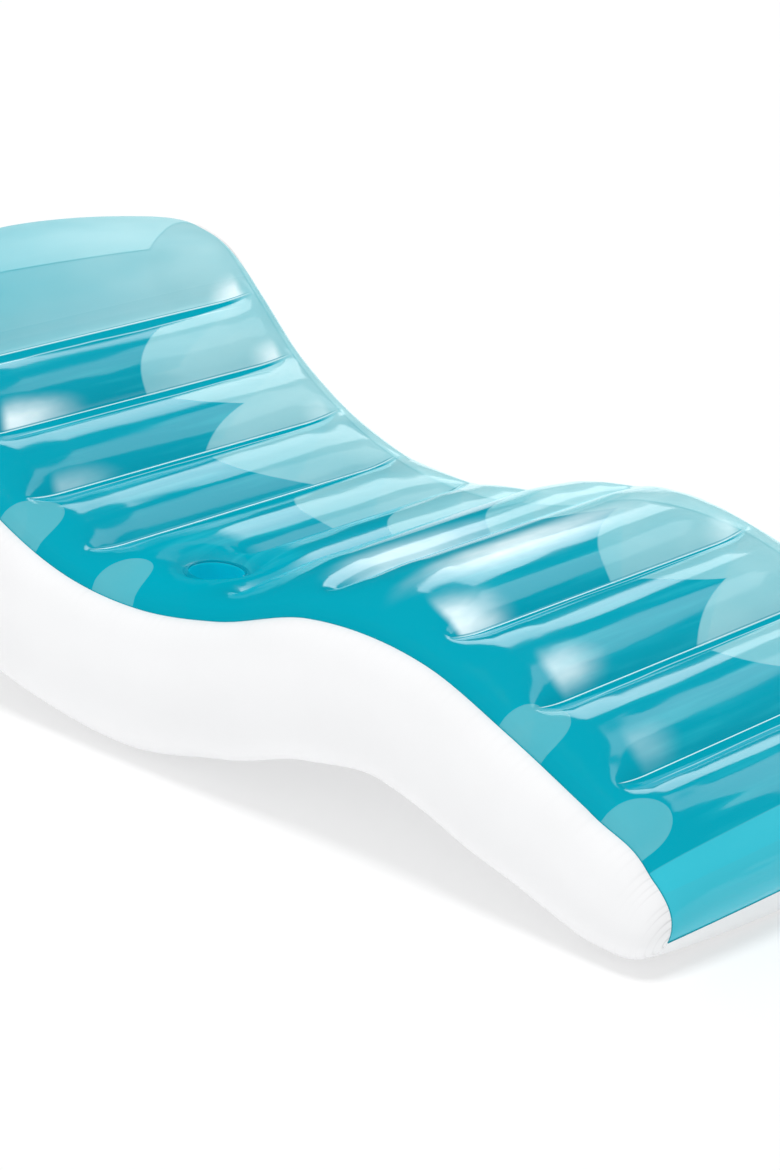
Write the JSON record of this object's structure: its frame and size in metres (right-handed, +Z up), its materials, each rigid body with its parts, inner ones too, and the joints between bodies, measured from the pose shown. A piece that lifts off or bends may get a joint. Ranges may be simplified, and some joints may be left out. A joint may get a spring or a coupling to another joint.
{
  "type": "inflatable pool chair",
  "caption": "S-shaped inflatable lounge of welded film: tinted top in cross channels, white sides, baffles inside, a sunken cup holder and an air valve with plug and check flap.",
  "frame": {"origin": "on the floor, under the middle of the chair's outline", "axes": "+X towards the sitter's feet, +Y to the sitter's left, +Z up"},
  "size_m": [1.9633, 0.9874, 0.6408],
  "materials": {
    "tinted_film": "glossy, translucent, printed",
    "white_film": "smooth satin",
    "clear_film": "glossy, translucent",
    "cup_film": "glossy, translucent",
    "valve_plastic": "smooth, soft"
  },
  "bodies": {
    "chair": {"top_film": "tinted_film", "bottom_film": "white_film", "side_panel_right": "white_film", "side_panel_left": "white_film", "baffle_01": "clear_film", "baffle_02": "clear_film", "baffle_03": "clear_film", "baffle_04": "clear_film", "baffle_05": "clear_film", "baffle_06": "clear_film", "baffle_07": "clear_film", "baffle_08": "clear_film", "baffle_09": "clear_film", "baffle_10": "clear_film", "cup_rim": "cup_film", "cup_sleeve": "cup_film", "cup_base": "cup_film", "valve_base": "valve_plastic"},
    "valve_stem": {"valve_stem": "valve_plastic"},
    "valve_plug": {"valve_plug": "valve_plastic"},
    "valve_flap": {"valve_flap": "valve_plastic"}
  },
  "joints": [
    {"name": "stem_slide", "type": "slide", "parent": "chair", "child": "valve_stem", "axis": [-0.6832, 0, -0.7302], "range_m": [0, 0.012]},
    {"name": "plug_hinge", "type": "hinge", "parent": "valve_stem", "child": "valve_plug", "pos_m": [-0.75483, 0, 0.2403], "axis": [0, -1, 0], "range_deg": [0, 150]},
    {"name": "flap_hinge", "type": "hinge", "parent": "valve_stem", "child": "valve_flap", "pos_m": [-0.73895, 0, 0.26297], "axis": [0, 1, 0], "range_deg": [0, 60], "stiffness_Nm_per_rad": 0.0004}
  ]
}
